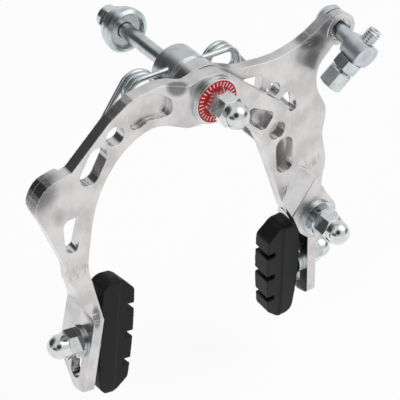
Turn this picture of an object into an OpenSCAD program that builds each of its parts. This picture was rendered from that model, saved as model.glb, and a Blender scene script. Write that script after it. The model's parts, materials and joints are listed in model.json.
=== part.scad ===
// Long-reach side-pull caliper brake with a single centre bolt.
// The origin is on the centre bolt's axis, on the rear face of the spring block,
// which is the face that seats on the fork crown or the frame bridge.
// +X is the rider's left as seen from the front, +Y runs to the rear along the bolt, +Z is up.

/* [Centre bolt] */
// Thread diameter of the centre bolt
bolt_d = 6; // [5:0.5:8]
// Free shank behind the mounting face, up to the radius washer
grip = 28.5; // [12:0.5:40]
// Running clearance on the radius of a turning fit
run_gap = 0.08; // [0.03:0.01:0.1]

/* [Arms] */
// Thickness of each arm's plate
arm_t = 4.5; // [4:0.1:6]
// Thickness of each arm's pivot boss
boss_t = 6; // [5:0.1:8]
// Outer radius of each pivot boss
boss_r = 9.8; // [8.5:0.1:12]
// Thickness of the pad flange at the foot of each arm
flange_t = 4; // [3:0.1:5]
// Width of the pad flange
flange_w = 21; // [19:0.5:26]
// Width of the slot for the pad stud
slot_w = 6.6; // [6.2:0.1:8]
// Length of the slot for the pad stud, end to end
slot_len = 23; // [14:0.5:28]
// How far the left pad's stud is set below the top of its slot
left_drop = 1; // [0:0.5:10]
// How far the right pad's stud is set below the top of its slot
right_drop = 6.5; // [0:0.5:10]
// How far the rear leg of the front arm steps back from its boss
arm_jog = 3.5; // [2:0.1:5]
// How far the anchor's tip of the front arm is set forward of its plate
tip_jog = 4.5; // [4.2:0.1:6]

/* [Spring] */
// Diameter of the spring wire
wire_d = 2.2; // [1.6:0.1:2.6]
// Radius of each coil at the wire's centre
coil_r = 6.4; // [5:0.1:8]
// Length of the spring block
block_len = 14; // [11:0.5:18]
// Diameter of the spring block
block_d = 19; // [16:0.5:22]

/* [Pads] */
// Length of a brake pad
pad_len = 51; // [40:1:60]
// Width of a brake pad
pad_w = 10; // [8:0.5:12]
// Depth of the pad's moulded base
base_depth = 8; // [6:0.5:11]
// Depth of the ribbed friction block
rib_depth = 7.5; // [5:0.5:12]
// Tilt of the left pad about its stud, top to the rear, in degrees
left_tilt = 8; // [-15:1:15]
// Tilt of the right pad about its stud, top to the rear, in degrees
right_tilt = -3; // [-15:1:15]

/* [Cable] */
// Diameter of the hole for the brake cable
cable_d = 2; // [1.6:0.1:2.5]
// Thread diameter of the barrel adjuster
adjuster_d = 6; // [5:0.5:7]
// Overall length of the barrel adjuster
adjuster_len = 27; // [22:1:34]
// Droop of the pin in the eye, in degrees
pin_droop = 16; // [0:1:22]
// Turn of the adjuster about the pin, in degrees from level
adjuster_turn = 54; // [50:1:80]

/* [Hidden] */
$fn = 48;
thin_washer = 1;
front_washer_t = 1.2;
disc_t = 0.8;
lock_nut_t = 4;
nut_af = 10;
cap_hex_h = 5.5;
cap_h = 12;
cap_dome_r = 4.85;
cap_bore_depth = 9;
thread_gap = 0.05;
stud_d = 6;
washer_r = 6;
// Stations along the bolt, from the mounting face forward
block_front = -block_len;
rear_boss_back = block_front - thin_washer;
rear_boss_front = rear_boss_back - boss_t;
front_boss_back = rear_boss_front - thin_washer;
front_boss_front = front_boss_back - boss_t;
disc_back = front_boss_front - front_washer_t;
disc_front = disc_back - disc_t;
cap_seat = disc_front - lock_nut_t;
// The rear arm's plate stays clear of the washer behind its boss
y_plate = rear_boss_back - arm_t - 0.5;
c_plate = front_boss_front;
c_leg = c_plate + arm_jog;
leg_t = arm_t + 0.5;
flange_front = c_plate + 2;
// Pad flange: its stud lies this far behind the front edge, and the slot and root end this far above it
stud_set = 8.5;
stud_y = flange_front + stud_set;
flange_back = flange_w - stud_set;
flange_top = 14;
slot_above = 5.2;
slot_below = slot_len - slot_above;
flange_foot = slot_below + 4.7;
// Small step that keeps one solid's faces off another's
skin = 0.12;
// Bolt and rear hardware
radius_t = 5;
rear_washer_t = 1.2;
lock_h = 8;
rear_stack = grip + radius_t + 2 * rear_washer_t;
// Eye and pin on the rear arm
eye_at = [63, y_plate + arm_t / 2, 4];
eye_r = 6.4;
pin_d = 6.2;
eye_bore = 8.9;
pin_out = 13.6;
// Cable anchor at the tip of the front arm
anchor_at = [47, -69];
tip_front = c_plate - tip_jog;
anchor_d = 6;
// Feet of the two arms: the slot's upper part on the outer face, and the outward lean
left_foot = [-53.9, -93];
left_lean = 10.5;
right_foot = [52.4, -93.5];
right_lean = 2.5;
spacer_t = 2;
// Inner faces of the lugs that the spring's ends press on
lug_left = -57;
lug_right = 50;
washer_t = 1.2;

// Points of an outline whose corners [x, z, r] are rounded to radius r
function corner(a, b, c, r) = let(
    u = (a - b) / norm(a - b), v = (c - b) / norm(c - b),
    half = acos(max(-1, min(1, u * v))) / 2,
    cut = min(r / tan(half), 0.49 * norm(a - b), 0.49 * norm(c - b)),
    rr = cut * tan(half), mid = (u + v) / norm(u + v),
    o = b + mid * rr / sin(half), p = b + u * cut, q = b + v * cut,
    a0 = atan2(p[1] - o[1], p[0] - o[0]), a1 = atan2(q[1] - o[1], q[0] - o[0]),
    da = a1 - a0 > 180 ? a1 - a0 - 360 : (a1 - a0 < -180 ? a1 - a0 + 360 : a1 - a0),
    n = max(1, round(abs(da) / 15)))
    [for (i = [0 : n]) o + rr * [cos(a0 + da * i / n), sin(a0 + da * i / n)]];
function rounded(c) = [for (i = [0 : len(c) - 1]) let(
    a = c[(i + len(c) - 1) % len(c)], b = c[i], d = c[(i + 1) % len(c)],
    pa = [a[0], a[1]], pb = [b[0], b[1]], pd = [d[0], d[1]])
    each (b[2] > 0 ? corner(pa, pb, pd, b[2]) : [pb])];

// Outline of a slot of radius r whose ends are centred on a and b
function slot(a, b, r) = let(t = atan2(b[1] - a[1], b[0] - a[0])) concat(
    [for (i = [0 : 10]) b + r * [cos(t - 90 + 18 * i), sin(t - 90 + 18 * i)]],
    [for (i = [0 : 10]) a + r * [cos(t + 90 + 18 * i), sin(t + 90 + 18 * i)]]);

// A plate of the outline in X and Z, from y to y + t
module plate(outline, y, t) {
    translate([0, y + t, 0]) rotate([90, 0, 0]) linear_extrude(t) polygon(outline);
}
// A cylinder along +Y from y
module rod_y(r, y, h) {
    translate([0, y, 0]) rotate([-90, 0, 0]) cylinder(r = r, h = h);
}
module ring_y(r, bore, y, h) {
    difference() {
        rod_y(r, y, h);
        rod_y(bore, y - 1, h + 2);
    }
}
// Hexagon prism along +Z with its crowned corners turned off
module hex(af, h, top = 1) {
    intersection() {
        cylinder(r = af / sqrt(3), h = h, $fn = 6);
        union() {
            cylinder(r = af / sqrt(3) + 0.1, h = h - top * 0.6);
            translate([0, 0, h - top * 0.6])
                cylinder(r1 = af / sqrt(3) + 0.1, r2 = af / 2 * 0.97, h = 0.6 * top, $fn = 48);
        }
    }
}
// Domed cap nut: seat at z = 0, dome along +Z
module cap_nut() {
    difference() {
        union() {
            hex(nut_af, cap_hex_h);
            translate([0, 0, cap_hex_h - 0.1])
                cylinder(r = cap_dome_r, h = cap_h - cap_dome_r - cap_hex_h + 0.1);
            translate([0, 0, cap_h - cap_dome_r]) intersection() {
                sphere(r = cap_dome_r);
                cylinder(r = cap_dome_r + 1, h = cap_dome_r + 1);
            }
        }
        translate([0, 0, -1]) cylinder(r = bolt_d / 2 + thread_gap, h = cap_bore_depth + 1);
    }
}
module washer(r, bore, h) {
    difference() {
        cylinder(r = r, h = h);
        translate([0, 0, -1]) cylinder(r = bore, h = h + 2);
    }
}

// Frames for the pieces on a foot: +Z out of the outer face along the stud, +Y up the flange
module on_foot(foot, lean, side) {
    translate([foot[0], stud_y, foot[1]]) rotate([0, side * 90 + lean * -side, 0]) rotate([0, 0, side * 90])
        children();
}

// Flange in its own frame: the outer face at z = 0, up at +Y, and front = 1 or -1 for the front edge's X
module flange_solid(front) {
    translate([0, 0, -flange_t]) linear_extrude(flange_t) polygon(rounded([
        [front * stud_set, flange_top, 0], [front * stud_set, 2.5 - flange_foot, 2.5],
        [front * 1, -flange_foot, 4],
        [-front * (flange_back - 2), 8.5 - flange_foot, 5], [-front * flange_back, -7, 5],
        [-front * (flange_back - 1), flange_top, 0]]));
}
// Top of the flange, where the leg turns into it
module flange_root(front) {
    translate([0, 0, -flange_t + skin]) linear_extrude(flange_t - 2 * skin)
        polygon([[front * (stud_set - skin), flange_top - 1], [front * (stud_set - skin), flange_top - skin],
            [-front * (flange_back - 1 - skin), flange_top - skin],
            [-front * (flange_back - 1 - skin), flange_top - 1]]);
}
module flange_slot() {
    r = slot_w / 2;
    translate([0, 0, -flange_t - 2]) linear_extrude(flange_t + 4)
        polygon(slot([0, slot_above - r], [0, r - slot_below], r));
}

// Outline of the front arm's right-hand extension and boss side
c_right = rounded([[0, 9, 0], [6, 8.2, 6], [18, -2, 20], [33.5, -15, 6], [36.5, -29, 20], [42, -43, 20],
    [45.5, -50.5, 0], [36.5, -66.5, 0], [33.5, -63, 6], [28.2, -47, 20], [24.6, -36.5, 20],
    [20.5, -25, 14], [12, -12.5, 8], [0, -9, 0]]);
c_tip = rounded([[45, -49, 0], [51.5, -60, 6], [56.5, -67, 8], [54, -77, 8], [45, -79.5, 8],
    [38.5, -73.5, 5], [34.6, -64, 0]]);
c_left = rounded([[0, 9, 0], [-4, 10.6, 6], [-10, 8.6, 8], [-20, 10.2, 8], [-31, 9, 12], [-40.5, 3, 12],
    [-56, -11.5, 3], [-67, -14, 8], [-71.5, -22, 8], [-67, -33, 12], [-60.4, -52, 10], [-60.4, -58, 0],
    [-51.6, -60, 0], [-51.8, -52, 20], [-49.6, -38, 20], [-47, -27, 20], [-41, -16.2, 20], [-33, -8.6, 14],
    [-24, -5, 10], [-10, -8.3, 12], [0, -9, 0]]);
tri_left = rounded([[-60.8, -30.4, 3], [-51.8, -30.6, 2.2], [-56, -46, 2.2], [-60.4, -44, 3]]);
tri_right = rounded([[14.5, -8.5, 2], [27.6, -15.5, 2], [22.5, -22.2, 2], [16, -16.5, 2]]);
dent_right = rounded([[31.6, -50.8, 0.6], [34.9, -51.6, 0.6], [33.4, -57.4, 0.6]]);
pocket = rounded([[-33.6, 4, 3], [-22, 8.6, 4], [-15.6, 4, 3], [-15.8, -3, 3], [-25, -2, 3], [-31.5, -5, 3]]);

// Front arm: one forging that carries the left pad and, beyond the pivot, the cable anchor
module c_arm() color("gainsboro") difference() {
    union() {
        rod_y(boss_r, c_plate, boss_t);
        plate(c_right, c_plate, arm_t);
        // the tip is set forward of the plate to pass in front of the rear arm's foot
        plate(c_tip, tip_front, arm_t);
        hull() {
            plate([[40, -44], [43.5, -46.5], [38, -66], [32.2, -58]], c_plate + skin, arm_t - 2 * skin);
            plate([[45, -49], [47.5, -53], [39.5, -74], [35, -65]], tip_front + skin, arm_t - 2 * skin);
        }
        // the left leg steps back behind the boss plane
        intersection() {
            plate(c_left, c_plate - 1, 20);
            translate([0, 0, -70]) linear_extrude(90) polygon(rounded([
                [1, c_plate, 0], [-11.5, c_plate, 4], [-17.5, c_leg, 4], [-80, c_leg, 0],
                [-80, c_leg + leg_t, 0], [-15, c_leg + leg_t, 4], [-10.5, c_plate + boss_t, 3],
                [1, c_plate + boss_t, 0]]));
        }
        // lug for the spring's end behind the elbow
        plate(rounded([[lug_left, -12.8, 2], [-66.6, -14.6, 7], [-71, -22, 7], [-67.4, -31.6, 5],
            [lug_left, -27, 3]]), c_leg + 1, arm_t + 2.6);
        // foot: the leg turns through a right angle into the pad flange
        hull() {
            plate([[-60.3, -55], [-51.9, -55], [-51.9, -56], [-60.3, -56]], c_leg + skin, leg_t - 2 * skin);
            on_foot(left_foot, left_lean, -1) flange_root(1);
        }
        on_foot(left_foot, left_lean, -1) flange_solid(1);
    }
    rod_y(bolt_d / 2 + run_gap, c_plate - 1, boss_t + 2);
    plate(tri_left, c_leg - 1, 12);
    plate(slot([-45.6, -9.2], [-49.2, -15.6], 3.9), c_leg - 1, 12);
    translate([-38.4, 0, -3.2]) rod_y(3.7, c_leg - 1, 12);
    plate(pocket, c_plate - 2, arm_jog + 4);
    plate(tri_right, c_plate - 1, 8);
    translate([28.6, 0, -23.9]) rod_y(3.7, c_plate - 1, 8);
    plate(slot([32.3, -32.2], [32.9, -40.4], 4), c_plate - 1, 8);
    plate(dent_right, c_plate - 1, 2);
    translate([anchor_at[0], 0, anchor_at[1]]) rod_y(anchor_d / 2 + thread_gap, tip_front - 1, arm_t + 2);
    on_foot(left_foot, left_lean, -1) flange_slot();
}

y_out = rounded([[0, 9, 0], [8, 6, 8], [16, 2.6, 14], [34, 0.6, 30], [47, 4.5, 20], [57.5, 11, 0],
    [63, 4, 0], [59.5, -2, 0], [52.6, -9, 8], [52.6, -18, 12], [58.8, -29, 12], [56.8, -40, 12],
    [59.5, -52, 8], [59.2, -58, 0], [49.8, -60, 0], [49, -58.6, 2], [37, -57.6, 5], [33, -47, 10],
    [28, -35, 16],
    [18, -24, 14], [12, -14, 8], [0, -9, 0]]);
y_tri_one = rounded([[15.5, -2, 1.6], [27.6, -3.6, 2.2], [26.4, -11.5, 2.4], [23, -11.5, 2]]);
y_tri_two = rounded([[38.6, -14.4, 2], [42.4, -17, 2], [44.6, -27, 2.2], [33.6, -18.6, 2]]);

// Rear arm: one forging with the adjuster's eye above and the right pad below
module y_arm() color("gainsboro") difference() {
    union() {
        rod_y(boss_r, rear_boss_front, boss_t);
        plate(y_out, y_plate, arm_t);
        translate([eye_at[0], 0, eye_at[2]]) rod_y(eye_r, y_plate - 0.2, arm_t + 0.2);
        // lug for the spring's end behind the elbow
        plate(rounded([[lug_right, -22, 3], [57.6, -27.4, 3], [57.6, -33, 5], [54.6, -41, 4],
            [lug_right, -36, 3]]), y_plate + 1, arm_t + 1.6);
        hull() {
            plate([[50.1, -56.5], [59, -56.5], [59, -57.5], [50.1, -57.5]], y_plate + skin, arm_t - 2 * skin);
            on_foot(right_foot, right_lean, 1) flange_root(-1);
        }
        on_foot(right_foot, right_lean, 1) flange_solid(-1);
    }
    rod_y(bolt_d / 2 + run_gap, rear_boss_front - 1, boss_t + 2);
    translate([eye_at[0], 0, eye_at[2]]) rod_y(eye_bore / 2, y_plate - 2, arm_t + 4);
    plate(y_tri_one, y_plate - 1, 8);
    plate(y_tri_two, y_plate - 1, 8);
    translate([32.2, 0, -11.7]) rod_y(3.2, y_plate - 1, 8);
    on_foot(right_foot, right_lean, 1) flange_slot();
}

// Centre bolt: plain shank with rolled ends that passes through everything
module centre_bolt() color("lightsteelblue") {
    front_end = cap_seat - cap_bore_depth + 0.5;
    rod_y(bolt_d / 2, front_end, rear_stack + lock_h + 0.8 - front_end);
}
module front_cap_nut() color("silver") translate([0, cap_seat, 0]) rotate([90, 0, 0]) cap_nut();
module front_lock_nut() color("silver") translate([0, disc_front, 0]) rotate([90, 0, 0]) difference() {
    hex(nut_af, lock_nut_t);
    translate([0, 0, -1]) cylinder(r = bolt_d / 2 + thread_gap, h = lock_nut_t + 2);
}
module dial_disc() color("firebrick") ring_y(8.6, bolt_d / 2 + 0.2, disc_front, disc_t);
module front_washer() color("silver") ring_y(9.2, bolt_d / 2 + 0.2, disc_back, front_washer_t);
module middle_washer() color("silver") ring_y(9, bolt_d / 2 + 0.2, front_boss_back, thin_washer);
module rear_arm_washer() color("silver") ring_y(8.6, bolt_d / 2 + 0.2, rear_boss_back, thin_washer);

// Spring block: turned from round bar, with a cross hole for the spring and a hollow rear rim
wire_z = 1 + bolt_d / 2 + wire_d / 2;
wire_y = -block_len * 0.68;
module spring_block() color("lightsteelblue") difference() {
    rotate([-90, 0, 0]) rotate_extrude() polygon([[bolt_d / 2 + thread_gap, -block_len],
        [block_d / 2 - 1.5, -block_len], [block_d / 2, -block_len + 1.5], [block_d / 2, -2.2],
        [block_d / 2 - 2.2, 0], [bolt_d / 2 + thread_gap, 0]]);
    translate([-block_d, wire_y, wire_z]) rotate([0, 90, 0]) cylinder(r = wire_d / 2 + 0.15, h = 2 * block_d);
}

// Points of one half of the spring: from the block out to the coil, twice round below it, and down to the lug
coil_turns = 2;
coil_pitch = wire_d + 0.35;
coil_steps = 24;
function coil_half(side, cx, cz, last_turn, end) = let(
    total = 360 * coil_turns + last_turn, n = round(coil_steps * total / 360))
    concat([[0, wire_y, wire_z], [side * (block_d / 2 + 0.5), wire_y, wire_z]],
        [for (i = [0 : n]) let(t = total * i / n)
            [side * (cx + coil_r * sin(t)), wire_y + coil_pitch * t / 360, cz + coil_r * cos(t)]],
        [end]);
function tangent(p, i) = let(a = p[max(0, i - 1)], b = p[min(len(p) - 1, i + 1)]) (b - a) / norm(b - a);
module wire(p, r, sides = 8) {
    n = len(p);
    points = [for (i = [0 : n - 1]) let(t = tangent(p, i), up = abs(t[1]) > 0.9 ? [1, 0, 0] : [0, 1, 0],
        u = cross(t, up) / norm(cross(t, up)), v = cross(u, t))
        for (k = [0 : sides - 1]) p[i] + r * (cos(360 * k / sides) * u + sin(360 * k / sides) * v)];
    faces = concat([[for (k = [sides - 1 : -1 : 0]) k]], [[for (k = [0 : sides - 1]) (n - 1) * sides + k]],
        [for (i = [0 : n - 2], k = [0 : sides - 1]) [i * sides + k, i * sides + (k + 1) % sides,
            (i + 1) * sides + (k + 1) % sides, (i + 1) * sides + k]]);
    polyhedron(points, faces, convexity = 6);
}
coil_x = block_d / 2 + coil_r + wire_d / 2 + 0.4;
coil_z = wire_z - coil_r;
end_gap = 0.2;
left_end = [lug_left + wire_d / 2 + end_gap, c_leg + leg_t + wire_d / 2 + 0.3, -22];
right_end = [lug_right - wire_d / 2 - end_gap, y_plate + arm_t + wire_d / 2 + 0.3, -31];
module return_spring() color("lightsteelblue") {
    left = coil_half(-1, coil_x, coil_z, 62, left_end);
    right = coil_half(1, coil_x, coil_z, 42, right_end);
    wire(concat([for (i = [len(left) - 1 : -1 : 1]) left[i]], [for (i = [1 : len(right) - 1]) right[i]]),
        wire_d / 2);
}

// Rear hardware on the long shank
module radius_washer() color("lightsteelblue") translate([0, grip, 0]) rotate([-90, 0, 0]) rotate_extrude()
    polygon([[bolt_d / 2 + 0.3, 2.4], [6.2, 2.4], [7.2, 0.4], [7.8, 0], [8.9, 1.2], [8.9, 3.6],
        [7.6, radius_t],
        [bolt_d / 2 + 0.3, radius_t]]);
module rear_washer_inner() color("silver") ring_y(8.2, bolt_d / 2 + 0.2, grip + radius_t, rear_washer_t);
module rear_washer_outer() color("silver")
    ring_y(7.6, bolt_d / 2 + 0.2, grip + radius_t + rear_washer_t, rear_washer_t);
insert_h = 2.2;
module rear_lock_nut() color("silver") translate([0, rear_stack, 0]) rotate([-90, 0, 0]) difference() {
    union() {
        hex(nut_af, lock_h - insert_h - 0.6);
        cylinder(r = 4.8, h = lock_h);
    }
    translate([0, 0, -1]) cylinder(r = bolt_d / 2 + thread_gap, h = lock_h + 2);
    translate([0, 0, lock_h - insert_h - 0.4]) cylinder(r = 4.1, h = insert_h);
}
module rear_lock_nut_insert() color("royalblue") translate([0, rear_stack + lock_h - insert_h - 0.4, 0])
    rotate([-90, 0, 0]) washer(4.05, bolt_d / 2 + 0.03, insert_h - 0.1);

// Frame of the eye pin: +Z along the pin towards the front, tilted down by the droop
module on_pin() {
    translate(eye_at) rotate([90 + pin_droop, 0, 0]) children();
}
head_r = 5.6;
head_z = -(arm_t / 2 / cos(pin_droop) + head_r * tan(pin_droop) + 0.25);
block_half = 4.4;
module eye_pin() color("lightsteelblue") on_pin() difference() {
    union() {
        translate([0, 0, head_z]) cylinder(r = pin_d / 2, h = pin_out + block_half - head_z - 0.8);
        translate([0, 0, head_z - 2]) cylinder(r = head_r, h = 2);
        translate([0, 0, head_z - 2]) intersection() {
            translate([0, 0, 3.6]) sphere(r = 6.65);
            translate([0, 0, -4]) cylinder(r = head_r, h = 4);
        }
        intersection() {
            translate([0, 0, pin_out - block_half]) cylinder(r = 5.6, h = 2 * block_half);
            rotate([0, 0, adjuster_turn]) translate([-4.3, -6, pin_out - block_half])
                cube([8.6, 12, 2 * block_half]);
        }
    }
    rotate([0, 0, adjuster_turn]) translate([-8, 0, pin_out]) rotate([0, 90, 0])
        cylinder(r = adjuster_d / 2 + thread_gap, h = 16);
}
// Frame of the adjuster: +Z along its axis, up and to the right, with z = 0 at the pin's axis
module on_adjuster() {
    on_pin() translate([0, 0, pin_out]) rotate([0, 0, adjuster_turn]) rotate([0, 90, 0]) children();
}
adj_head = 7.5;
adj_af = 9;
adj_nut_t = 4.5;
adj_seat = 4.3;
module barrel_adjuster() color("silver") on_adjuster() difference() {
    union() {
        translate([0, 0, -adj_seat - adj_nut_t - 0.7 - adj_head]) hex(adj_af, adj_head);
        translate([0, 0, -adj_seat - adj_nut_t - 1])
            cylinder(r = adjuster_d / 2, h = adjuster_len - adj_head);
    }
    // the cable passes through, and the housing seats in the head's counterbore
    translate([0, 0, -20]) cylinder(r = cable_d / 2, h = 50);
    translate([0, 0, -adj_seat - adj_nut_t - 0.7 - adj_head - 1]) cylinder(r = 2.6, h = 6);
}
module adjuster_lock_nut() color("silver") on_adjuster()
    translate([0, 0, -adj_seat - 0.1]) rotate([180, 0, 0]) difference() {
        hex(nut_af - 0.4, adj_nut_t);
        translate([0, 0, -1]) cylinder(r = adjuster_d / 2 + thread_gap, h = adj_nut_t + 2);
    }

// Cable anchor: a cross-drilled bolt whose cable is clamped between two washers
anchor_head_t = 2;
module on_anchor() {
    translate([anchor_at[0], tip_front, anchor_at[1]]) rotate([90, 0, 0]) children();
}
clamp_t = 2.6;
module anchor_bolt() color("lightsteelblue") on_anchor() difference() {
    union() {
        translate([0, 0, -arm_t - anchor_head_t]) cylinder(r = 4.8, h = anchor_head_t);
        translate([0, 0, -arm_t - 0.1])
            cylinder(r = anchor_d / 2, h = arm_t + washer_t + clamp_t + 1.2 + cap_bore_depth - 0.6);
    }
    translate([0, -6, washer_t + 1.25]) rotate([-90, 0, 0]) cylinder(r = cable_d / 2, h = 12);
}
module anchor_washer() color("silver") on_anchor() washer(7.4, anchor_d / 2 + 0.15, washer_t);
module anchor_clamp_washer() color("silver") on_anchor() translate([0, 0, washer_t + clamp_t])
    washer(6.2, anchor_d / 2 + 0.15, 1.2);
module anchor_cap_nut() color("silver") on_anchor() translate([0, 0, washer_t + clamp_t + 1.2]) cap_nut();

module on_left_stud() {
    on_foot(left_foot, left_lean, -1) translate([0, -left_drop, 0]) children();
}
module on_right_stud() {
    on_foot(right_foot, right_lean, 1) translate([0, -right_drop, 0]) children();
}
// Pad in the frame of its stud: the stud points along +Z, the friction face along -Z
pad_back = -flange_t - spacer_t;
module pad_block() color([0.07, 0.07, 0.08]) {
    half = pad_len / 2;
    w = pad_w / 2;
    difference() {
        union() {
            // moulded base, narrower at its ends
            intersection() {
                translate([-w, 0, 0]) rotate([90, 0, 90]) linear_extrude(pad_w) polygon(rounded([
                    [-half + 3.5, pad_back, 3], [-half, pad_back - 4, 4], [-half, pad_back - base_depth, 0],
                    [half, pad_back - base_depth, 0], [half, pad_back - 4, 4], [half - 3.5, pad_back, 3]]));
                translate([0, 0, pad_back - base_depth - 1]) linear_extrude(base_depth + 2) polygon(rounded([
                    [-w, -half, 2.6], [-w, half, 2.6], [w, half, 2.6], [w, -half, 2.6]]));
            }
            // friction block with chamfered ends
            translate([-w + 0.6, 0, 0]) rotate([90, 0, 90]) linear_extrude(pad_w - 1.2) polygon(rounded([
                [-half + 0.6, pad_back - base_depth + 0.5, 0], [-half + 1.4, pad_back - base_depth - 2, 3],
                [-half + 6, pad_back - base_depth - rib_depth, 2],
                [half - 6, pad_back - base_depth - rib_depth, 2],
                [half - 1.4, pad_back - base_depth - 2, 3], [half - 0.6, pad_back - base_depth + 0.5, 0]]));
        }
        // water grooves across the friction face
        for (y = [-12, 0, 12]) translate([-w - 1, y - 1.2, pad_back - base_depth - rib_depth - 1])
            cube([pad_w + 2, 2.4, 5]);
        // the stud's moulded socket
        translate([0, 0, pad_back - 6]) cylinder(r = 4.6, h = 2.6);
        translate([0, 0, pad_back - 4]) cylinder(r = stud_d / 2 + 0.05, h = 5);
    }
}
module pad_stud() color("silver") {
    translate([0, 0, pad_back - 5.9]) cylinder(r = 4.5, h = 2.3);
    translate([0, 0, pad_back - 4])
        cylinder(r = stud_d / 2, h = 4 - pad_back + washer_t + cap_bore_depth - 0.6);
}
module pad_spacer() color("silver") translate([0, 0, pad_back + 0.05])
    washer(6, stud_d / 2 + 0.15, spacer_t - 0.1);
module pad_washer() color("silver") translate([0, 0, 0.05])
    washer(washer_r + 0.4, stud_d / 2 + 0.15, washer_t - 0.05);
module pad_cap_nut() color("silver") translate([0, 0, washer_t]) cap_nut();

c_arm();
y_arm();
centre_bolt();
front_cap_nut();
front_lock_nut();
dial_disc();
front_washer();
middle_washer();
rear_arm_washer();
spring_block();
return_spring();
radius_washer();
rear_washer_inner();
rear_washer_outer();
rear_lock_nut();
rear_lock_nut_insert();
eye_pin();
barrel_adjuster();
adjuster_lock_nut();
anchor_bolt();
anchor_washer();
anchor_clamp_washer();
anchor_cap_nut();
on_left_stud() rotate([0, 0, left_tilt]) pad_block();  // left_pad_block
on_left_stud() pad_stud();  // left_pad_stud
on_left_stud() pad_spacer();  // left_pad_spacer
on_left_stud() pad_washer();  // left_pad_washer
on_left_stud() pad_cap_nut();  // left_pad_cap_nut
on_right_stud() rotate([0, 0, -right_tilt]) pad_block();  // right_pad_block
on_right_stud() pad_stud();  // right_pad_stud
on_right_stud() pad_spacer();  // right_pad_spacer
on_right_stud() pad_washer();  // right_pad_washer
on_right_stud() pad_cap_nut();  // right_pad_cap_nut
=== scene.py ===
"""Side-pull caliper brake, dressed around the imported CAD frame.

The frame is in metres: +X to the right as seen from the front, +Y to the rear along the
centre bolt, +Z up, with the origin where the spring block seats on the fork crown.
"""
import json
from math import cos, pi, radians, sin

import bpy
from mathutils import Matrix, Vector


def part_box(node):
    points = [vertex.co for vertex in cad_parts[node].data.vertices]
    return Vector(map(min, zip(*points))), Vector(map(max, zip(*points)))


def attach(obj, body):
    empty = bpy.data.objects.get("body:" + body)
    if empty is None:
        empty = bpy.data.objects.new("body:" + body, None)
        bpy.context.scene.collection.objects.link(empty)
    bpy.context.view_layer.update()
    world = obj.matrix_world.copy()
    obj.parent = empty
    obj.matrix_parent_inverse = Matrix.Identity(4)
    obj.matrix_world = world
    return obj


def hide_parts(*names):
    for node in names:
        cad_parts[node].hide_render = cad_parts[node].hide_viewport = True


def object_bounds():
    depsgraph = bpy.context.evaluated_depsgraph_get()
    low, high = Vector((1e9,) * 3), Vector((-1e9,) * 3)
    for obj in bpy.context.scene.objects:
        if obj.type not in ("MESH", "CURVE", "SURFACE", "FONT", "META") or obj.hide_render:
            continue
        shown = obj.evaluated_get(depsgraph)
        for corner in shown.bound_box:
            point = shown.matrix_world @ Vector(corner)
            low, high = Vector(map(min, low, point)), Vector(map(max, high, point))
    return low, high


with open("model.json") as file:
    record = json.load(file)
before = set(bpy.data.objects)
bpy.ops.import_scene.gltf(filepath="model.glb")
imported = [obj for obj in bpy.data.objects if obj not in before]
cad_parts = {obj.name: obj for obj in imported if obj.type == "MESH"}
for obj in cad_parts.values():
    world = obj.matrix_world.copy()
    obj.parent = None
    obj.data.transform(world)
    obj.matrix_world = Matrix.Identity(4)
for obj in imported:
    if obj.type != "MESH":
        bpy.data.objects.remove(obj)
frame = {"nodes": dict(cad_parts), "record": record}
node = frame["nodes"]
cad_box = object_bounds()


# Arms. Each is one aluminium forging, tumbled and then polished on a belt, so its front
# faces keep faint drag lines while the trimmed walls round them are smoother and darker.
# Dark patches are painted as shade and dark reflections on the elbows, by the pivot and at the
# twisted bends of the feet, and the feet also carry brown stains.

MM = 0.001


class Wire:
    """A shader socket, on which Python's operators add the Math nodes they stand for."""

    def __init__(self, finish, socket):
        self.finish, self.socket = finish, socket

    def _maths(self, operation, *values):
        return self.finish.node("Math", {"operation": operation}, *values)

    def __add__(self, other):
        return self._maths("ADD", self, other)

    def __sub__(self, other):
        return self._maths("SUBTRACT", self, other)

    def __rsub__(self, other):
        return self._maths("SUBTRACT", other, self)

    def __mul__(self, other):
        return self._maths("MULTIPLY", self, other)

    def __abs__(self):
        return self._maths("ABSOLUTE", self)

    def __mod__(self, other):
        return self._maths("FLOORED_MODULO", self, other)

    __radd__ = __add__


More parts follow.
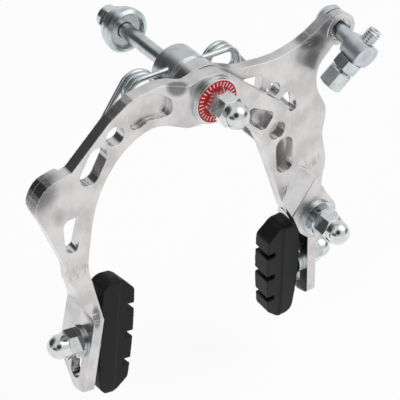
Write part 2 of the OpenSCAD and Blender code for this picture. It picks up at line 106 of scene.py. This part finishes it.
class Finish:
    """A material under construction. Names of the shader's sockets have _ for a space."""

    def __init__(self, name, **fixed):
        self.material = bpy.data.materials.new(name)
        self.material.use_nodes = True
        self.tree = self.material.node_tree
        self.shader = self.tree.nodes["Principled BSDF"]
        self.surface(**fixed)
        self.place = self.node("TexCoord", {}, out="Object")
        self.mm = self.node("VectorMath", {"operation": "SCALE"}, self.place, Scale=1 / MM)
        self.facing = self.node("TexCoord", {}, out="Normal")

    def node(self, kind, settings, *values, out=0, **named):
        made = self.tree.nodes.new("ShaderNode" + kind)
        for key, value in settings.items():
            setattr(made, key, value)
        for slot, value in enumerate(values):
            self.feed(made.inputs[slot], value)
        for slot, value in named.items():
            self.feed(made.inputs[slot.replace("_", " ")], value)
        return Wire(self, made.outputs[out])

    def feed(self, socket, value):
        if isinstance(value, Wire):
            self.tree.links.new(value.socket, socket)
        elif isinstance(value, tuple) and len(value) == 3 and socket.type == "RGBA":
            socket.default_value = (*value, 1)
        else:
            socket.default_value = value

    def surface(self, **values):
        for name, value in values.items():
            self.feed(self.shader.inputs[name.replace("_", " ")], value)

    def axis(self, vector, name):
        return self.node("SeparateXYZ", {}, vector, out=name)

    def ease(self, value, low, high):
        """0 below low, 1 above high, and smooth between them."""
        return self.node("MapRange", {"interpolation_type": "SMOOTHSTEP"}, value, low, high, 0, 1)

    def noise(self, size, detail=2.0, stretch=(1, 1, 1), turn=(0, 0, 0)):
        """Noise about 0.5 whose blotches are size mm across, stretched along the turned axes."""
        turned = self.node("Mapping", {"vector_type": "TEXTURE"}, self.mm,
                           Rotation=turn, Scale=stretch)
        return self.node("TexNoise", {}, turned, Scale=1 / size, Detail=detail)

    def near(self, middle, reach, soft=0.5):
        """1 inside the ellipsoid of that middle and reach in mm, fading out to 0 at its edge."""
        offset = self.node("VectorMath", {"operation": "SUBTRACT"}, self.mm, middle)
        scaled = self.node("VectorMath", {"operation": "DIVIDE"}, offset, reach)
        far = self.node("VectorMath", {"operation": "LENGTH"}, scaled, out="Value")
        return 1 - self.ease(far, soft, 1.0)

    def mix(self, amount, first, second):
        """A colour between first and second."""
        blend = self.tree.nodes.new("ShaderNodeMix")
        blend.data_type = "RGBA"
        for slot, value in (("Factor_Float", amount), ("A_Color", first), ("B_Color", second)):
            self.feed(next(s for s in blend.inputs if s.identifier == slot), value)
        return Wire(self, next(s for s in blend.outputs if s.identifier == "Result_Color"))

    def relief(self, height=None, depth=0.02, edge=0.25):
        """Rounds the edges by edge mm, over a height map whose full range is depth mm."""
        rounded = self.node("Bevel", {"samples": 4}, Radius=edge * MM)
        if height is not None:
            rounded = self.node("Bump", {}, Strength=1.0, Distance=depth * MM,
                                Height=height, Normal=rounded)
        self.surface(Normal=rounded)


def wear(name, finish):
    """The finish goes on a CAD node in place of its plain material."""
    node[name].data.materials.clear()
    node[name].data.materials.append(finish.material)
    for polygon in node[name].data.polygons:
        polygon.material_index = 0


def edge_highlight_mask(finish, reach):
    """1 on the edges within about reach mm, where a highlight is painted on the metal."""
    rounded = finish.node("Bevel", {"samples": 4}, Radius=reach * MM)
    flat = finish.node("NewGeometry", {}, out="Normal")
    alike = finish.node("VectorMath", {"operation": "DOT_PRODUCT"}, rounded, flat, out="Value")
    return finish.ease(1 - alike, 0.01, 0.12)


def forged_aluminium(name, shade_patches, stained):
    """Polished forging; each patch of painted shade or of stain is a middle and a reach in mm."""
    metal = Finish(name, Metallic=1.0)
    front = metal.ease(abs(metal.axis(metal.facing, "Y")), 0.75, 0.97)
    drag = metal.noise(0.35, 3.0, stretch=(1, 1, 16), turn=(0, radians(20), 0))
    cloud = metal.noise(9.0, 3.0)
    pits = metal.ease(metal.noise(0.5, 2.0), 0.68, 0.75) * metal.ease(cloud, 0.48, 0.65)
    # Painted shade: dark patches at the elbows, the jog by the pivot and the twisted feet.
    painted_shade = sum((metal.near(*patch) for patch in shade_patches[1:]), metal.near(*shade_patches[0]))
    # Bright scratches are drawn only inside the painted-shade patches.
    scratch = metal.ease(metal.noise(0.7, 4.0, stretch=(7, 1, 1)), 0.6, 0.68) * painted_shade
    brown = sum((metal.near(*patch) for patch in stained[1:]), metal.near(*stained[0])) \
        * metal.ease(metal.noise(0.6, 2.0, stretch=(1, 1, 6)), 0.45, 0.6)
    face = metal.mix(metal.ease(drag * 0.35 + cloud, 0.52, 0.85),
                     (0.72, 0.705, 0.70), (0.57, 0.555, 0.55))
    wall = metal.mix(metal.ease(cloud, 0.35, 0.7), (0.70, 0.69, 0.70), (0.55, 0.54, 0.55))
    colour = metal.mix(front, wall, face)
    # Painted shade: the patches are darkened nearly to black.
    colour = metal.mix(painted_shade * 0.85, colour, (0.14, 0.135, 0.14))
    colour = metal.mix(brown * 0.5, colour, (0.40, 0.30, 0.26))
    colour = metal.mix(pits * 0.35, colour, (0.36, 0.35, 0.35))
    colour = metal.mix(scratch * 0.6, colour, (0.85, 0.84, 0.83))
    # Painted highlight: the edges are lightened towards white.
    edge = edge_highlight_mask(metal, 0.5)
    metal.surface(
        Base_Color=metal.mix(edge * 0.7, colour, (0.95, 0.94, 0.93)),
        Roughness=0.13 + drag * 0.10 + front * 0.12 + painted_shade * 0.10)
    metal.relief(drag * 0.25 + metal.noise(5.0, 2.0) - pits * 0.15, depth=0.10, edge=0.5)
    return metal


wear("c_arm", forged_aluminium(
    "polished front arm",
    shade_patches=[((-69, -20, -16), (12, 9, 11)), ((-62, -20, -28), (6, 6, 8)),
            ((-14, -26, 9), (5, 4, 5)), ((-50.5, -24, -78), (2.2, 9, 7)),
            ((-22, -30, 5), (9, 5, 2.0)), ((-31, -30, -4), (7, 5, 2.2))],
    stained=[((-56, -24, -55), (7, 5, 4)), ((-53, -23, -84), (5, 5, 4))]))
wear("y_arm", forged_aluminium(
    "polished rear arm",
    shade_patches=[((28, -18, 5), (14, 5, 4)), ((49, -18, 3), (7, 6, 4))],
    stained=[((54, -18, -52), (6, 5, 4))]))


# Zinc-plated steel. The centre bolt runs through the whole brake, and thin turned washers
# keep the arms apart on it. The plating is bright and slightly blue, and finely grained by
# the turning of the steel below it.

def zinc_plate(name, light=(0.70, 0.735, 0.75), dark=(0.55, 0.59, 0.61), rough=0.16, edge=0.25):
    zinc = Finish(name, Metallic=1.0)
    cloud = zinc.noise(4.0, 2.0)
    grain = zinc.noise(0.25, 2.0)
    colour = zinc.mix(zinc.ease(cloud, 0.35, 0.7), light, dark)
    # Painted highlight: the edges are lightened towards white.
    zinc.surface(
        Base_Color=zinc.mix(edge_highlight_mask(zinc, edge) * 0.5, colour, (0.88, 0.90, 0.90)),
        Roughness=rough + grain * 0.10)
    zinc.relief(grain, depth=0.008, edge=edge)
    return zinc


bright_zinc = zinc_plate("bright zinc on washers and nuts")
for part in ("front_washer", "middle_washer", "rear_arm_washer", "front_lock_nut",
             "rear_washer_inner", "rear_washer_outer", "rear_lock_nut",
             "anchor_washer", "anchor_clamp_washer", "anchor_bolt", "adjuster_lock_nut",
             "left_pad_stud", "left_pad_spacer", "left_pad_washer",
             "right_pad_stud", "right_pad_spacer", "right_pad_washer"):
    wear(part, bright_zinc)
wear("centre_bolt", zinc_plate("drawn bolt shank", (0.62, 0.66, 0.67), (0.48, 0.52, 0.54), rough=0.24))


# Dial disc. A thin steel disc under the front lock nut, lacquered red with a bare rim, and
# printed with a plain ring of white ticks, every fifth one longer.

TICKS, TICK_INNER, TICK_OUTER, LONGER = 30, 6.0, 7.6, 0.6
LACQUER_EDGE = 8.15
lacquer = Finish("red lacquer with ticks", Specular_IOR_Level=0.3)
across, up = lacquer.axis(lacquer.mm, "X"), lacquer.axis(lacquer.mm, "Z")
radius = lacquer.node("Math", {"operation": "SQRT"}, across * across + up * up)
turn = lacquer.node("Math", {"operation": "ARCTAN2"}, up, across) * (1 / (2 * pi)) + 0.5
within_tick = abs((turn * TICKS) % 1.0 - 0.5)
within_five = abs((turn * (TICKS / 5) + 0.4) % 1.0 - 0.5)
long_tick = 1 - lacquer.ease(within_five, 0.095, 0.105)
inner_end = TICK_INNER - long_tick * LONGER
tick = (1 - lacquer.ease(within_tick, 0.11, 0.16)) * lacquer.ease(radius - inner_end, 0.0, 0.12) \
    * (1 - lacquer.ease(radius, TICK_OUTER, TICK_OUTER + 0.1))
bare_rim = lacquer.ease(radius, LACQUER_EDGE, LACQUER_EDGE + 0.1)
lacquer.surface(
    Base_Color=lacquer.mix(bare_rim, lacquer.mix(tick, (0.50, 0.008, 0.014), (0.80, 0.78, 0.77)),
                           (0.72, 0.72, 0.72)),
    Metallic=bare_rim, Roughness=0.42 - bare_rim * 0.16)
lacquer.relief(tick * 0.6, depth=0.03, edge=0.12)
wear("dial_disc", lacquer)


# Domed cap nuts. They are turned and nickel plated, so the dome mirrors the room, while
# the hexagon below it keeps a duller drawn surface.

def bright_nut(name):
    nickel = Finish(name, Metallic=1.0)
    smudge = nickel.noise(3.0, 2.0)
    nickel.surface(
        Base_Color=nickel.mix(nickel.ease(smudge, 0.4, 0.7), (0.74, 0.75, 0.75), (0.64, 0.65, 0.66)),
        Roughness=0.06 + smudge * 0.08)
    nickel.relief(edge=0.3)
    return nickel


plated_dome = bright_nut("nickel plate on the domed nuts")
for part in ("front_cap_nut", "anchor_cap_nut", "left_pad_cap_nut", "right_pad_cap_nut"):
    wear(part, plated_dome)


# Spring block. A short zinc-plated drum behind the rear arm, through which the spring
# passes. Its rim is hollowed to bed on the fork crown.

wear("spring_block", zinc_plate(
    "blue zinc on the spring block", (0.60, 0.64, 0.65), (0.46, 0.50, 0.51), rough=0.25))


# Return spring. One length of plated round wire passes over the bolt in the block, winds
# into a coil of two turns and a part on each side, and ends beside the lugs on the elbows.

WIRE, COIL = 2.2, 6.4
COIL_GAP, BLOCK_GAP, FOOT_GAP = 0.35, 0.4, 0.1
BLOCK_DEPTH_SHARE = 0.68
spring_low, spring_high = (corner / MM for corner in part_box("return_spring"))
block_low, block_high = (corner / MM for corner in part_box("spring_block"))
block_radius = (block_high.x - block_low.x) / 2
wire_place = Vector((0, block_low.y * BLOCK_DEPTH_SHARE, spring_high.z - WIRE / 2))
coil_x = block_radius + COIL + WIRE / 2 + BLOCK_GAP


def coil_path(side, last_turn, foot):
    """Points in mm out from the block, round the coil below the wire, and down to the lug."""
    steps, turns = 40, 2 + last_turn / 360
    yield Vector((side * (block_radius + 0.5), wire_place.y, wire_place.z))
    for i in range(round(steps * turns) + 1):
        turned = 2 * pi * i / steps
        yield Vector((side * (coil_x + COIL * sin(turned)),
                      wire_place.y + (WIRE + COIL_GAP) * i / steps,
                      wire_place.z - COIL + COIL * cos(turned)))
    yield Vector(foot)


left_foot = (spring_low.x + WIRE / 2 + FOOT_GAP, -18.1, -22)
right_foot = (spring_high.x - WIRE / 2 - FOOT_GAP, -14.1, -31)
wire_path = [*reversed(list(coil_path(-1, 62, left_foot))), *coil_path(1, 42, right_foot)]
spring_curve = bpy.data.curves.new("return spring", "CURVE")
spring_curve.dimensions = "3D"
spring_curve.bevel_depth = WIRE / 2 * MM
spring_curve.bevel_resolution = 5
spring_curve.use_fill_caps = True
wire_line = spring_curve.splines.new("POLY")
wire_line.points.add(len(wire_path) - 1)
wire_line.use_smooth = True
for point, spot in zip(wire_line.points, wire_path):
    point.co = (*(spot * MM), 1)
spring = bpy.data.objects.new("spring_wire_round", spring_curve)
bpy.context.scene.collection.objects.link(spring)
spring_curve.materials.append(
    zinc_plate("spring wire", (0.62, 0.66, 0.66), (0.46, 0.50, 0.51), rough=0.16, edge=0.1).material)
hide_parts("return_spring")
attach(spring, "frame")


# Radius washer and nylon insert. The washer is cupped to fit a round frame tube, and the
# lock nut behind it grips the bolt's thread with a ring of blue nylon.

wear("radius_washer", zinc_plate(
    "blue zinc on the radius washer", (0.64, 0.69, 0.70), (0.50, 0.55, 0.56), rough=0.2))
nylon = Finish("blue nylon", Base_Color=(0.03, 0.10, 0.42), Roughness=0.45)
nylon.relief(nylon.noise(0.4), depth=0.01)
wear("rear_lock_nut_insert", nylon)


# Eye pin. It turns loosely in the rear arm's eye and carries the cable adjuster through
# its flat head block. Its zinc is matt and greyer than that of the nuts.

wear("eye_pin", zinc_plate(
    "matt zinc on the eye pin", (0.64, 0.67, 0.70), (0.52, 0.55, 0.59), rough=0.28))


# Barrel adjuster. Its hexagon head and rolled thread are one bar. The head's mouth takes the
# end of the cable housing, and the cable's hole is sunk from the thread's end; here the two
# are not joined, and the mouth has no floor.

def record_item(items, name):
    return next(item for item in items if item["name"] == name)


socket = record_item(frame["record"]["mounts"], "housing_socket")
pull = -Vector(socket["axis"]).normalized()
HEAD_FLATS, HEAD_LENGTH, THREAD_RADIUS, PITCH, THREAD_DEPTH = 9.0, 7.5, 3.0, 1.0, 0.55
SOCKET_RADIUS, SOCKET_DEPTH, CABLE_RADIUS, CABLE_DEPTH = 2.6, 5.0, 1.0, 6
HEAD_START, THREAD_END, CHAMFER, RELIEF = -SOCKET_DEPTH / 2, 24.2, 0.5, 0.1
HEAD_END, MOUTH_FLOOR = HEAD_START + HEAD_LENGTH, HEAD_START + SOCKET_DEPTH
TURNED = HEAD_FLATS / 2 * 0.96
AROUND, STEPS_PER_TURN = 36, 6


def ring(radius, height, shape=None):
    """Points in mm round the adjuster's axis; shape scales the radius by share of the turn."""
    scales = [shape(i / AROUND) if shape else 1 for i in range(AROUND)]
    return [Vector((cos(2 * pi * i / AROUND) * radius * scale,
                    sin(2 * pi * i / AROUND) * radius * scale, height))
            for i, scale in enumerate(scales)]


def skin(rings):
    """Points and faces that join the rings in order, and close the last one."""
    points = [point for each in rings for point in each]
    faces = [(row * AROUND + i, row * AROUND + (i + 1) % AROUND,
              (row + 1) * AROUND + (i + 1) % AROUND, (row + 1) * AROUND + i)
             for row in range(len(rings) - 1) for i in range(AROUND)]
    return points, faces + [tuple(range((len(rings) - 1) * AROUND, len(rings) * AROUND))]


def hexagon(share):
    """How far out a hexagon of unit flats lies, a share of the way round."""
    return 1 / cos((share * 2 * pi + pi / 6) % (pi / 3) - pi / 6)


def thread_rings(start, end, radius):
    """Rings of a thread that runs out just before its end."""
    for step in range(round((end - start) / PITCH * STEPS_PER_TURN) + 1):
        height = start + step * PITCH / STEPS_PER_TURN
        run_out = min(1.0, max(0.0, (end - height) / (PITCH * 0.8)))
        yield ring(radius, height, shape=lambda share: 1 - THREAD_DEPTH / radius * (
            1 - run_out * (1 - abs(((height / PITCH - share) % 1) * 2 - 1))))


mouth = [ring(CABLE_RADIUS, MOUTH_FLOOR), ring(SOCKET_RADIUS, MOUTH_FLOOR),
         ring(SOCKET_RADIUS, HEAD_START), ring(TURNED, HEAD_START)]
head = [ring(HEAD_FLATS / 2, HEAD_START + CHAMFER, shape=hexagon),
        ring(HEAD_FLATS / 2, HEAD_START + HEAD_LENGTH - CHAMFER, shape=hexagon),
        ring(TURNED, HEAD_END), ring(THREAD_RADIUS - THREAD_DEPTH, HEAD_END)]
screw = list(thread_rings(HEAD_END + RELIEF, THREAD_END, THREAD_RADIUS))
drilling = [ring(CABLE_RADIUS, THREAD_END), ring(CABLE_RADIUS, THREAD_END - CABLE_DEPTH)]
points, faces = skin(mouth + head + screw + drilling)
place = Matrix.Translation(Vector(socket["pos_m"])) @ pull.to_track_quat("Z", "Y").to_matrix().to_4x4()
adjuster_mesh = bpy.data.meshes.new("barrel adjuster")
adjuster_mesh.from_pydata([place @ (point * MM) for point in points], [], faces)
adjuster_mesh.validate()
adjuster = bpy.data.objects.new("threaded_adjuster", adjuster_mesh)
bpy.context.scene.collection.objects.link(adjuster)
adjuster_mesh.materials.append(bright_zinc.material)
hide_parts("barrel_adjuster")
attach(adjuster, "adjuster")


# Pads. Each is one moulding of black rubber round a steel stud, matt and faintly dusty. Its
# face to the rim is crowned, and its back thins to both ends, more to the lower one, for the
# crown and tapers are centred on the marked point of the face, above the pad's middle.

rubber = Finish("moulded black rubber", Specular_IOR_Level=0.28)
dust = rubber.noise(6.0, 3.0)
rubber.surface(
    Base_Color=rubber.mix(rubber.ease(dust, 0.35, 0.75), (0.003, 0.003, 0.0033), (0.007, 0.007, 0.0075)),
    Roughness=0.44 + dust * 0.2)
rubber.relief(rubber.noise(0.5, 2.0), depth=0.03, edge=0.4)

PAD_LENGTH, PAD_DEPTH = 51.0, 15.5
FACE_CROWN, BACK_TAPER, END_TAPER, FURTHEST = 1.2, 1.8, 0.05, 1.2
MOULD_VOXEL, SOFTENINGS = 0.25, 10


def moulded_pad(side, tilt):
    """The CAD block of that side, softened; its tapers run tilt degrees off the slide's axis."""
    face = record_item(frame["record"]["mounts"], side + "_friction_face")
    slide = record_item(frame["record"]["behaviour"]["joints"], side + "_pad_height")
    marked, inward = Vector(face["pos_m"]), Vector(face["axis"]).normalized()
    length_way = Matrix.Rotation(radians(tilt), 3, inward) @ Vector(slide["axis"]).normalized()
    width_way = length_way.cross(inward)
    pad = bpy.data.objects.new(side + "_pad_moulding", node[side + "_pad_block"].data.copy())
    bpy.context.scene.collection.objects.link(pad)
    mould = pad.modifiers.new("mould", "REMESH")
    mould.mode, mould.voxel_size, mould.use_smooth_shade = "VOXEL", MOULD_VOXEL * MM, True
    soften = pad.modifiers.new("soften", "SMOOTH")
    soften.factor, soften.iterations = 0.5, SOFTENINGS
    shape = bpy.data.meshes.new_from_object(pad.evaluated_get(bpy.context.evaluated_depsgraph_get()))
    pad.modifiers.clear()
    pad.data = shape
    for vertex in shape.vertices:
        offset = vertex.co - marked
        along, across = offset.dot(length_way), offset.dot(width_way)
        depth = -offset.dot(inward)
        end = min(FURTHEST, abs(along) / (PAD_LENGTH / 2 * MM)) ** 2
        share = depth / (PAD_DEPTH * MM)
        across *= 1 - END_TAPER * end
        depth += end * (FACE_CROWN * (1 - share) - BACK_TAPER * share) * MM
        vertex.co = marked + length_way * along + width_way * across - inward * depth
    shape.materials.clear()
    shape.materials.append(rubber.material)
    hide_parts(side + "_pad_block")
    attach(pad, side + "_shoe")


# The left block itself leans 8 degrees the other way, so its tapers lie 16 degrees off it.
moulded_pad("left", 8)
moulded_pad("right", -3)


# Studio. The brake hangs over a white table in even light. The table and the room are
# white where the camera or a polished face looks at them, except for the dark places that
# the camera and an open doorway make, which give the plating its contrast.

TABLE_DROP, TABLE_GLOW = 25, 0.9
ROOM_LEVEL, ROOM_ON_MATT, ROOM_SEEN = 0.8, 0.5, 1.0
PATCH_CORE = 0.35
FRAME_PX = 400
SENSOR = 36.0
FOCAL_PX = 1377.6
DISTANCE = 480 * MM
TURN, TILT = radians(34.3), radians(36.5)
DISC_FACE = Vector((0, -30 * MM, 0))
DISC_PX = Vector((217.38, 101.55))
sight = Vector((sin(TURN) * cos(TILT), cos(TURN) * cos(TILT), -sin(TILT)))
right = Vector((cos(TURN), -sin(TURN), 0))
above = right.cross(sight)
per_px = DISTANCE / FOCAL_PX
lens = bpy.data.cameras.new("lens")
lens.sensor_width = SENSOR
lens.lens = FOCAL_PX * SENSOR / FRAME_PX
camera = bpy.data.objects.new("camera", lens)
eye = DISC_FACE - sight * DISTANCE - right * (DISC_PX.x - FRAME_PX / 2) * per_px \
    - above * (FRAME_PX / 2 - DISC_PX.y) * per_px
camera.matrix_world = Matrix.Translation(eye) @ Matrix((right, above, -sight)).transposed().to_4x4()
bpy.context.scene.collection.objects.link(camera)
bpy.context.scene.camera = camera

table_top = cad_box[0].z - TABLE_DROP * MM
bpy.ops.mesh.primitive_plane_add(size=8.0, location=(0, 0, table_top))
table = bpy.context.object
table.name = "table"
paper = bpy.data.materials.new("white paper")
paper.use_nodes = True
tree = paper.node_tree
diffuse = tree.nodes["Principled BSDF"]
diffuse.inputs["Base Color"].default_value = (0.86, 0.86, 0.86, 1)
diffuse.inputs["Roughness"].default_value = 0.9
glow = tree.nodes.new("ShaderNodeEmission")
glow.inputs["Strength"].default_value = 1.0
rays = tree.nodes.new("ShaderNodeLightPath")
sharp = rays.outputs["Is Camera Ray"]
for kind in ("Is Glossy Ray", "Is Transmission Ray"):
    either = tree.nodes.new("ShaderNodeMath")
    either.operation = "MAXIMUM"
    tree.links.new(sharp, either.inputs[0])
    tree.links.new(rays.outputs[kind], either.inputs[1])
    sharp = either.outputs[0]
seen = tree.nodes.new("ShaderNodeMath")
seen.operation = "MULTIPLY"
tree.links.new(sharp, seen.inputs[0])
seen.inputs[1].default_value = TABLE_GLOW
blend = tree.nodes.new("ShaderNodeMixShader")
tree.links.new(seen.outputs[0], blend.inputs[0])
tree.links.new(diffuse.outputs[0], blend.inputs[1])
tree.links.new(glow.outputs[0], blend.inputs[2])
tree.links.new(blend.outputs[0], tree.nodes["Material Output"].inputs["Surface"])
table.data.materials.append(paper)

room = bpy.data.worlds.new("room")
bpy.context.scene.world = room
room.use_nodes = True
air = room.node_tree
for old in list(air.nodes):
    air.nodes.remove(old)


def room_node(kind, **settings):
    made = air.nodes.new("ShaderNode" + kind)
    for key, value in settings.items():
        setattr(made, key, value)
    return made


def room_patch(toward, spread, depth, light):
    """The light, less depth of it within spread degrees of a direction; brighter if below 0."""
    facing = room_node("VectorMath", operation="DOT_PRODUCT")
    air.links.new(direction.outputs["Generated"], facing.inputs[0])
    facing.inputs[1].default_value = Vector(toward).normalized()
    fade = room_node("MapRange", interpolation_type="SMOOTHSTEP")
    air.links.new(facing.outputs["Value"], fade.inputs["Value"])
    for slot, value in (("From Min", cos(radians(spread))),
                        ("From Max", cos(radians(spread * PATCH_CORE))),
                        ("To Min", 1.0), ("To Max", 1.0 - depth)):
        fade.inputs[slot].default_value = value
    product = room_node("Math", operation="MULTIPLY")
    air.links.new(fade.outputs["Result"], product.inputs[0])
    if light is None:
        product.inputs[1].default_value = ROOM_LEVEL
    else:
        air.links.new(light, product.inputs[1])
    return product.outputs[0]


direction = room_node("TexCoord")
level = room_patch(-sight, 30, 0.95, None)
level = room_patch((-0.6, 0.66, 0.40), 44, 0.92, level)
level = room_patch((-1.0, -0.35, 0.05), 32, 0.85, level)
level = room_patch((0.9, -0.5, 0.0), 30, 0.8, level)
level = room_patch((0.45, -0.35, 0.82), 34, -1.2, level)
ray = room_node("LightPath")
shiny = room_node("Mix", data_type="FLOAT")
air.links.new(ray.outputs["Is Glossy Ray"], shiny.inputs[0])
shiny.inputs[2].default_value = ROOM_ON_MATT
air.links.new(level, shiny.inputs[3])
shown = room_node("Mix", data_type="FLOAT")
air.links.new(ray.outputs["Is Camera Ray"], shown.inputs[0])
air.links.new(shiny.outputs[0], shown.inputs[2])
shown.inputs[3].default_value = ROOM_SEEN
sky = room_node("Background")
sky.inputs["Color"].default_value = (1, 1, 1, 1)
air.links.new(shown.outputs[0], sky.inputs["Strength"])
air.links.new(sky.outputs[0], room_node("OutputWorld").inputs["Surface"])


def softbox(name, place, size, watts):
    """A square lamp of that many watts, aimed at the bolt and hidden from polished faces."""
    lamp = bpy.data.lights.new(name, "AREA")
    lamp.shape = "SQUARE"
    lamp.size = size
    lamp.energy = watts
    box = bpy.data.objects.new(name, lamp)
    box.location = place
    box.visible_glossy = False
    box.rotation_euler = (Vector(place) * -1).to_track_quat("-Z", "Y").to_euler()
    bpy.context.scene.collection.objects.link(box)


softbox("softbox above right", (0.7, -0.5, 1.1), 0.7, 9)
softbox("softbox left", (-1.1, -0.5, 0.6), 0.6, 4)

bpy.context.scene.view_settings.view_transform = "Standard"
